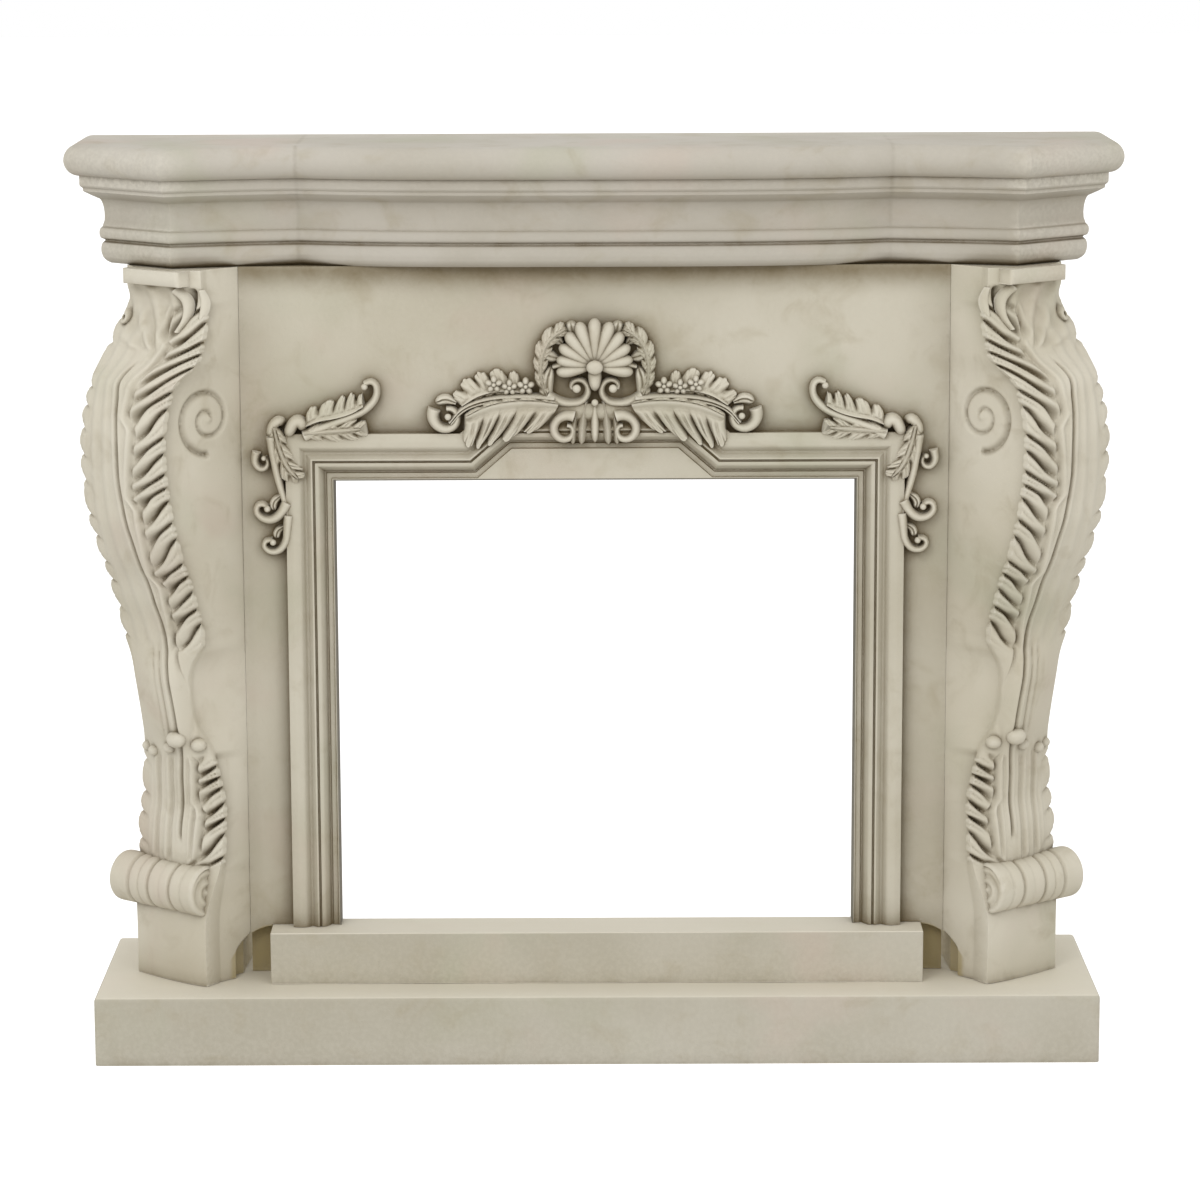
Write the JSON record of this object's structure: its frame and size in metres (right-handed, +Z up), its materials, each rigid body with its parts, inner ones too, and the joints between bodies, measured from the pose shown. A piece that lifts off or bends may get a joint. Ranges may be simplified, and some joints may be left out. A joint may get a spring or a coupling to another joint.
{
  "type": "fireplace mantel",
  "caption": "Carved fireplace mantel with a bowed moulded shelf on canted acanthus console legs, a framed surround round a rectangular opening, a low riser and a plinth.",
  "frame": {"origin": "middle of the underside of the plinth, on the floor", "axes": "+Z up, +Y towards the wall behind, the front faces -Y, +X to the right seen from the front"},
  "size_m": [1.5622, 0.34, 1.361],
  "materials": {
    "aged_cream_stone": "matt cast stone in cream, with a brown antique patina left in the hollows",
    "shelf_stone": "matt cast stone in a slightly paler cream, rubbed smooth on top"
  },
  "bodies": {
    "root": {"base_plinth": "aged_cream_stone", "hearth_riser": "aged_cream_stone", "left_leg": "aged_cream_stone", "right_leg": "aged_cream_stone", "surround_panel": "aged_cream_stone", "mantel_shelf": "shelf_stone"}
  },
  "joints": []
}
